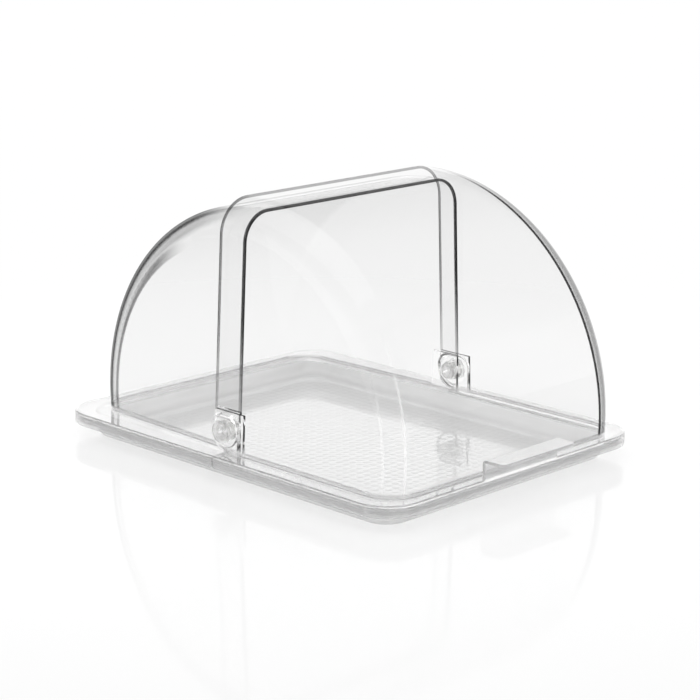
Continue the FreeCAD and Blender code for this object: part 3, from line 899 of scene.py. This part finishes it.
@dataclass
class Studio:
    """Polished white sheet under the bin, bright backdrop and one soft lamp above."""

    # The sheet, and how far from the bin it takes a shadow.
    floor_size: float = 12.0
    floor_colour: str = "#F6F6F6"
    sheen_ior: float = 1.25
    sheen_share: float = 0.53
    sheen_roughness: float = 0.06
    shadow_share: float = 0.45
    shadow_inner: float = 0.33
    shadow_outer: float = 0.75

    # The backdrop: its colour by height, from level (0) to straight up (1), and its glow near level.
    glow_strength: float = 1.0
    backdrop_glow: float = 1.9
    backdrop_rise: Pair = (0.3, 0.42)
    backdrop: tuple[tuple[float, str], ...] = (
        (0.42, "#FFFFFF"), (0.62, "#B4B4B4"), (0.86, "#B4B4B4"), (0.97, "#F0F0F0"))

    # The lamp: its power in watts, its side, its place, and the point that it lights.
    key_power: float = 32.0
    key_size: float = 3.0
    key_place: tuple[float, float, float] = (0.0, 0.2, 2.2)
    key_target: tuple[float, float, float] = (0.0, 0.0, 0.1)

    def build(self) -> None:
        """Make floor, world and lamp."""
        self.build_floor()
        self.build_world()
        self.add_lamp()
        bpy.context.scene.view_settings.view_transform = "Standard"

    def build_floor(self) -> None:
        """Lay the polished sheet: acrylic, whose gloss mirrors the bin faintly at a low angle."""
        mesh = bmesh.new()
        bmesh.ops.create_grid(mesh, x_segments=1, y_segments=1, size=self.floor_size / 2)
        material, tree = empty_material("polished_white_acrylic_sheet")
        lit = add_node(tree, Kind.DIFFUSE, {"Color": linear(self.floor_colour)})
        ray = add_node(tree, Kind.RAY)
        seen = add_node(tree, Kind.PLUS_TO_ONE, (ray.outputs["Is Camera Ray"], ray.outputs["Is Glossy Ray"]))
        looked = add_node(tree, Kind.PLUS_TO_ONE, (seen, ray.outputs["Is Transmission Ray"]))
        surface = add_node(tree, Kind.MIX, (looked, lit, self.polished(tree, lit)))
        add_node(tree, Kind.MATERIAL_OUTPUT, {"Surface": surface})
        floor = finish_mesh("studio_floor", mesh, material)

    def polished(self, tree: bpy.types.NodeTree, lit: Feed) -> bpy.types.Node:
        """What is seen of the sheet: it glows as the backdrop does, and takes the bin's shadow near by.

        Args:
            tree: The sheet's node tree.
            lit: The sheet under the lamp alone.

        Returns:
            The finish.
        """
        place = add_node(tree, Kind.PLACE)
        reach = add_node(tree, Kind.LENGTH, (place.outputs["Object"],)).outputs["Value"]
        near = add_node(tree, Kind.EASE, (
            reach, self.shadow_inner, self.shadow_outer, self.shadow_share, 0.0))
        glow = add_node(tree, Kind.GLOW, {"Color": WHITE, "Strength": self.glow_strength})
        body = add_node(tree, Kind.MIX, (near, glow, lit))
        sheen = add_node(tree, Kind.GLOSS, {
            "Color": grey(self.sheen_share), "Roughness": self.sheen_roughness})
        fresnel = add_node(tree, Kind.FRESNEL, {"IOR": self.sheen_ior})
        return add_node(tree, Kind.MIX, (fresnel, body, sheen))

    def build_world(self) -> None:
        """Light from all round: white behind the bin, darker above it, paler again at the top."""
        world = bpy.data.worlds.new("studio_world")
        world.use_nodes = True
        tree = world.node_tree
        tree.nodes.clear()
        bpy.context.scene.world = world
        place = add_node(tree, Kind.PLACE)
        height = add_node(tree, Kind.SPLIT, {"Vector": place.outputs["Generated"]}).outputs["Z"]
        shell = add_node(tree, Kind.RAMP, (height,))
        set_stops(shell, [(stop, linear(colour)) for stop, colour in self.backdrop])
        strength = add_node(tree, Kind.EASE, (
            height, *self.backdrop_rise, self.backdrop_glow, self.glow_strength))
        lighting = add_node(tree, Kind.BACKGROUND, {"Color": shell, "Strength": strength})
        white = add_node(tree, Kind.BACKGROUND, {"Color": WHITE, "Strength": self.glow_strength})
        ray = add_node(tree, Kind.RAY)
        mix = add_node(tree, Kind.MIX, (ray.outputs["Is Camera Ray"], lighting, white))
        add_node(tree, Kind.WORLD_OUTPUT, {"Surface": mix})

    def add_lamp(self) -> None:
        """Hang one soft square lamp that points at the middle of the bin."""
        name = "top_softbox"
        lamp = bpy.data.lights.new(name, "AREA")
        lamp.size = self.key_size
        lamp.energy = self.key_power
        holder = bpy.data.objects.new(name, lamp)
        aim = Vector(self.key_target) - Vector(self.key_place)
        holder.location = self.key_place
        holder.rotation_euler = aim.to_track_quat("-Z", "Y").to_euler()
        bpy.context.scene.collection.objects.link(holder)


@dataclass
class PhotoCamera:
    """Camera at the picture's own viewpoint."""

    azimuth: float = math.radians(-45.4803)
    elevation: float = math.radians(14.5456)
    roll: float = math.radians(0.3993)
    distance: float = 1.8769
    slide: float = 0.0036
    lift: float = 0.0808
    lens_mm: float = 111.78
    sensor_mm: float = 36.0

    def build(self) -> None:
        """Put the camera in place and make it the scene's own."""
        sin_a, cos_a = math.sin(self.azimuth), math.cos(self.azimuth)
        sin_e, cos_e = math.sin(self.elevation), math.cos(self.elevation)
        back = Vector((sin_a * cos_e, -cos_a * cos_e, sin_e))
        level_right = Vector((cos_a, sin_a, 0.0))
        level_up = back.cross(level_right)
        right = level_right * math.cos(self.roll) + level_up * math.sin(self.roll)
        up = level_up * math.cos(self.roll) - level_right * math.sin(self.roll)
        place = back * self.distance + right * self.slide + up * self.lift
        turn = Matrix((right, up, back)).transposed().to_4x4()
        data = bpy.data.cameras.new("photo_camera")
        data.lens = self.lens_mm
        data.sensor_width = self.sensor_mm
        camera = bpy.data.objects.new("photo_camera", data)
        camera.matrix_world = Matrix.Translation(place) @ turn
        bpy.context.scene.collection.objects.link(camera)
        bpy.context.scene.camera = camera


def dress_node(node: str, material: bpy.types.Material) -> None:
    """Give one moulded or turned part its finish.

    Args:
        node: The part's name.
        material: Its finish.
    """
    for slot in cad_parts[node].material_slots:
        slot.material = material
    LOG.info("dressed %s with %s", node, material.name)


def main() -> None:
    """Dress the parts, add the fine details and set up the studio."""
    logging.basicConfig(level=logging.INFO)
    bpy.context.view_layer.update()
    PhotoCamera().build()
    Studio().build()
    front_clear = CoverPolycarbonate("front_cover_polycarbonate", FRONT_BARREL, FRONT_PAINTED_CORNER_SHADE).build()
    rear_clear = CoverPolycarbonate("rear_cover_polycarbonate", REAR_BARREL, REAR_PAINTED_CORNER_SHADE).build()
    nylon = NaturalNylon().build()
    tray_clear = TrayPolycarbonate().build()
    nub_clear = TrayPolycarbonate().build_nubs()
    pin_clear = PinPolycarbonate().build()
    dress_node("tray", tray_clear)
    dress_node("rear_cover", rear_clear)
    dress_node("front_cover", front_clear)
    for side in ("left", "right"):
        dress_node(f"{side}_pivot_pin", pin_clear)
        dress_node(f"{side}_pivot_retainer", pin_clear)
        dress_node(f"{side}_pivot_spacer", nylon)
    nubs = TrayFloorNubs().build(nub_clear)
    LOG.info("made %s with %d faces", nubs.name, len(nubs.data.polygons))


if __name__ == "__main__":
    main()
